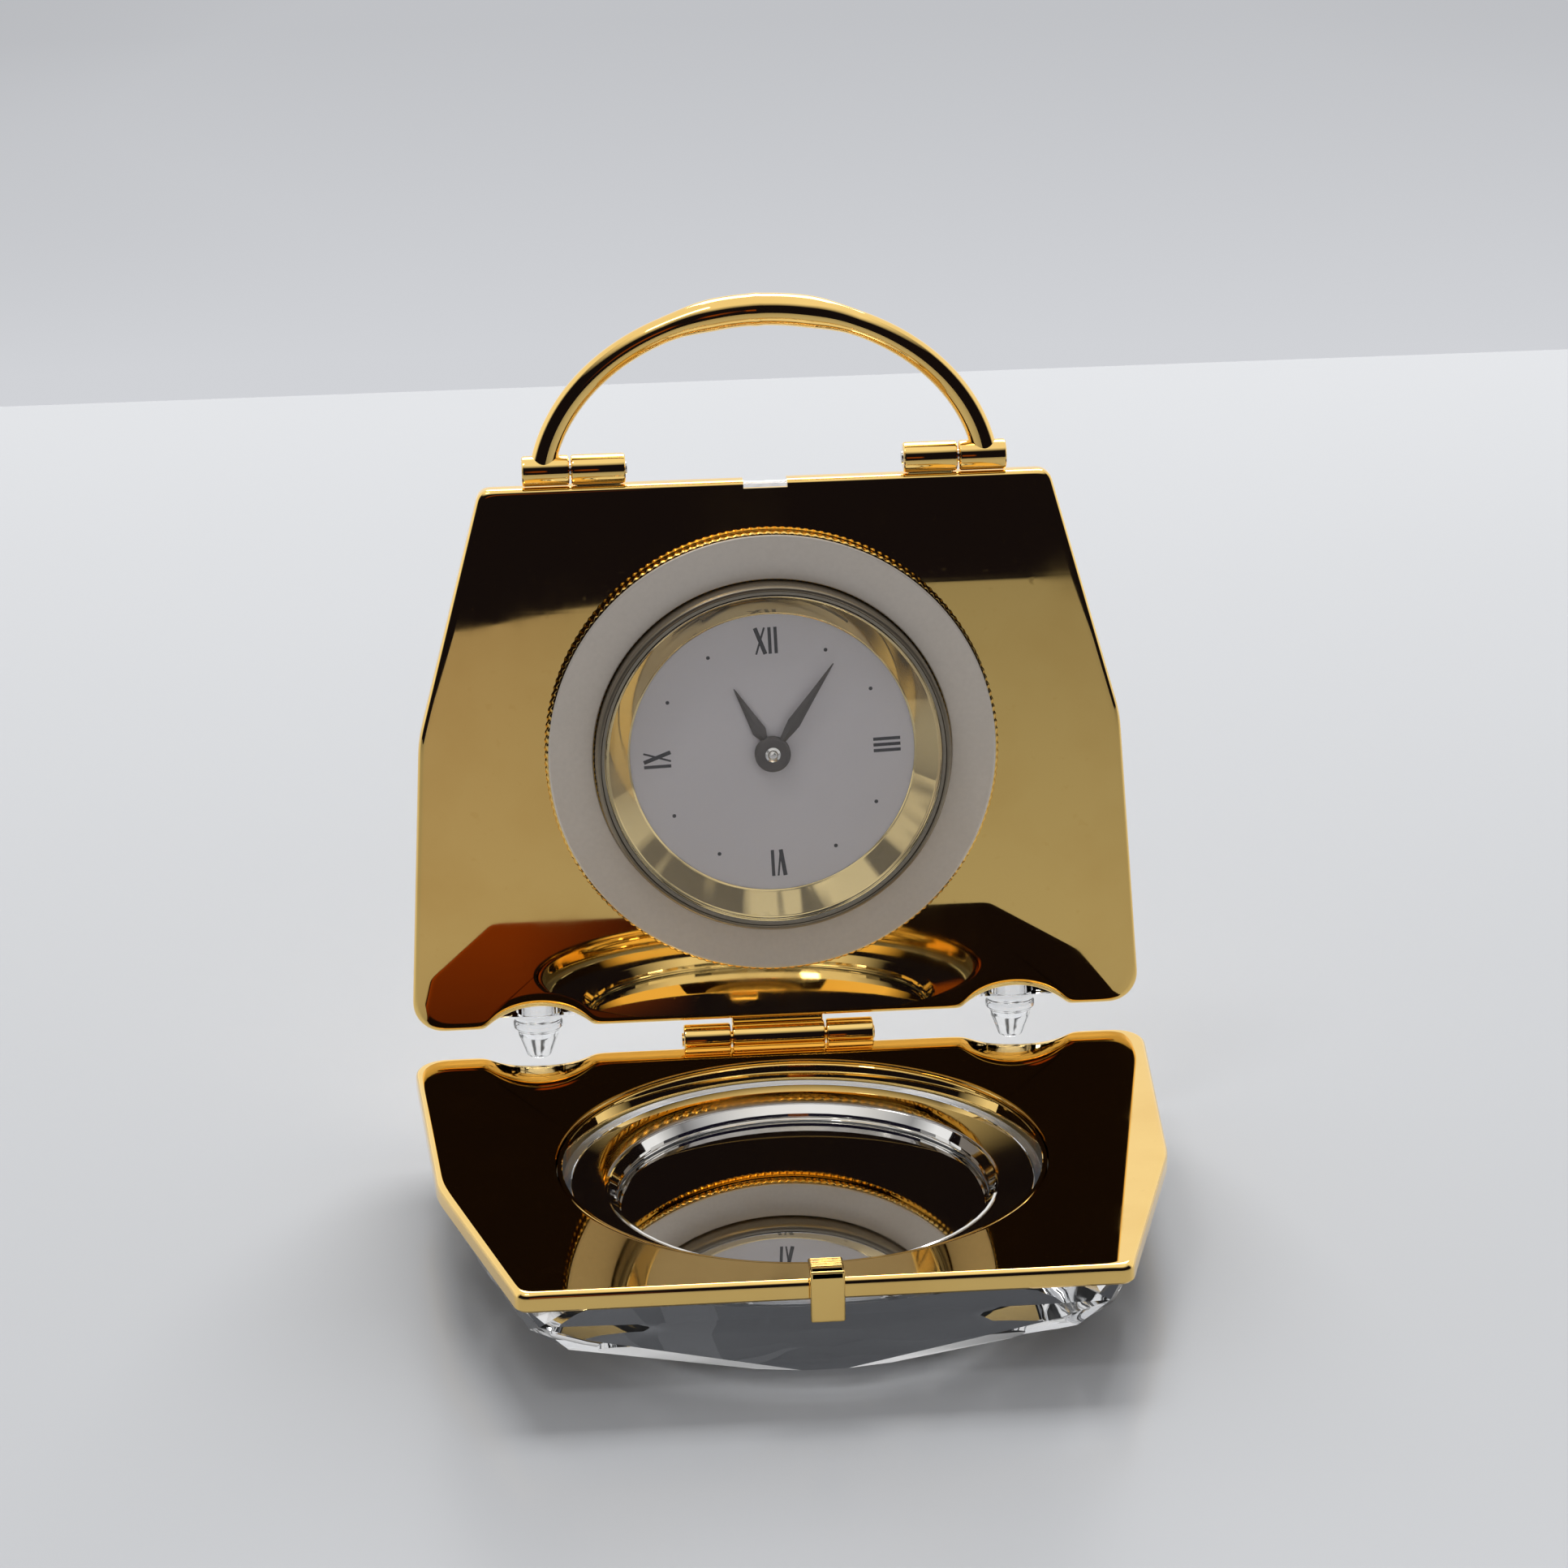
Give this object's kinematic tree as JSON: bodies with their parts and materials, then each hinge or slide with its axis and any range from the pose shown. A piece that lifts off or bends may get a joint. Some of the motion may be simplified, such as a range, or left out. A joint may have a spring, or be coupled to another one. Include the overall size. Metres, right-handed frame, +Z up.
{
  "type": "mantel clock",
  "caption": "Miniature handbag-shaped clock: two hinged frame-and-crystal halves open like a book, with an insert clock facing a round mirror, a swinging handle and a press clasp.",
  "frame": {"origin": "centre of the flat facet of the front crystal, on which the opened clock stands", "axes": "+X to the right as seen facing the dial, +Y to the back, +Z up; the facet faces -Z"},
  "size_m": [0.044, 0.0441, 0.0517],
  "materials": {
    "gold_plate": "polished gold plate",
    "pale_satin": "fine satin, pale champagne",
    "crystal": "clear cut glass",
    "mirror": "silvered glass",
    "clear_foot": "clear moulded",
    "dial_glass": "flat clear mineral glass",
    "dial_enamel": "off-white satin print",
    "hand_black": "dark grey gloss",
    "steel": "fine turned",
    "movement_brass": "machined",
    "seal_rubber": "moulded, matt",
    "white_plastic": "moulded",
    "board_green": "coated circuit board",
    "copper_wire": "fine enamelled winding"
  },
  "bodies": {
    "front_half": {"front_frame": "gold_plate", "window_rim": "gold_plate", "front_crystal": "crystal", "front_mirror": "mirror", "mirror_surround": "mirror", "front_foot_left": "clear_foot", "front_foot_right": "clear_foot", "hinge_knuckle_left": "gold_plate", "hinge_knuckle_right": "gold_plate", "hinge_pin": "steel", "clasp_pin": "steel"},
    "clasp": {"clasp_hook": "gold_plate"},
    "back_half": {"back_frame": "gold_plate", "back_crystal": "crystal", "back_foot_left": "clear_foot", "back_foot_right": "clear_foot", "hinge_knuckle_centre": "gold_plate", "handle_lug_left": "gold_plate", "handle_lug_right": "gold_plate", "handle_pin_left": "steel", "handle_pin_right": "steel", "clock_case": "gold_plate", "knurled_bezel": "gold_plate", "pale_ring": "pale_satin", "cone_ring": "gold_plate", "dial_glass": "dial_glass", "glass_seal": "seal_rubber", "dial": "dial_enamel", "movement_holder": "white_plastic", "main_plate": "movement_brass", "battery": "steel", "battery_clip": "steel", "motor_stator": "steel", "motor_coil": "copper_wire", "circuit_board": "board_green", "quartz_can": "steel", "gear_train_cover": "movement_brass", "case_seal": "seal_rubber", "case_back": "steel", "mounting_ring": "seal_rubber"},
    "handle": {"handle_knuckle_left": "gold_plate", "handle_knuckle_right": "gold_plate", "handle_bow": "gold_plate", "handle_grip": "gold_plate"},
    "minute_arbor": {"cannon_pinion": "steel", "minute_hand": "hand_black"},
    "motion_wheel": {"minute_wheel": "movement_brass"},
    "hour_pipe": {"hour_wheel": "movement_brass", "hour_hand": "hand_black"},
    "stem": {"setting_stem": "steel"},
    "crown": {"setting_crown": "gold_plate"}
  },
  "joints": [
    {"name": "book_hinge", "type": "hinge", "parent": "front_half", "child": "back_half", "pos_m": [0, 0.01797, 0.0064], "axis": [1, 0, 0], "range_deg": [0, 94.4]},
    {"name": "clasp_press", "type": "hinge", "parent": "front_half", "child": "clasp", "pos_m": [0, -0.01595, 0.00575], "axis": [1, 0, 0], "range_deg": [0, 22], "stiffness_Nm_per_rad": 0.003},
    {"name": "handle_swing", "type": "hinge", "parent": "back_half", "child": "handle", "pos_m": [0, 0.02128, 0.04162], "axis": [1, 0, 0], "range_deg": [-90, 90]},
    {"name": "minute_turn", "type": "hinge", "parent": "back_half", "child": "minute_arbor", "pos_m": [0, 0.01935, 0.02432], "axis": [0, 0.9971, -0.0767], "continuous": true},
    {"name": "motion_wheel_turn", "type": "hinge", "parent": "back_half", "child": "motion_wheel", "pos_m": [-0.00204, 0.01925, 0.02306], "axis": [0, 0.9971, -0.0767], "continuous": true},
    {"name": "hour_turn", "type": "hinge", "parent": "back_half", "child": "hour_pipe", "pos_m": [0, 0.01935, 0.02432], "axis": [0, 0.9971, -0.0767], "continuous": true},
    {"name": "crown_pull", "type": "slide", "parent": "back_half", "child": "stem", "axis": [0.9995, 0.0024, 0.0313], "range_m": [0, 0.0007]},
    {"name": "crown_turn", "type": "hinge", "parent": "stem", "child": "crown", "pos_m": [0, 0.02299, 0.02404], "axis": [0.9995, 0.0024, 0.0313], "continuous": true}
  ],
  "couplings": [
    {"joint": "motion_wheel_turn", "follows": "minute_turn", "ratio": -0.33333},
    {"joint": "hour_turn", "follows": "minute_turn", "ratio": 0.083333}
  ]
}
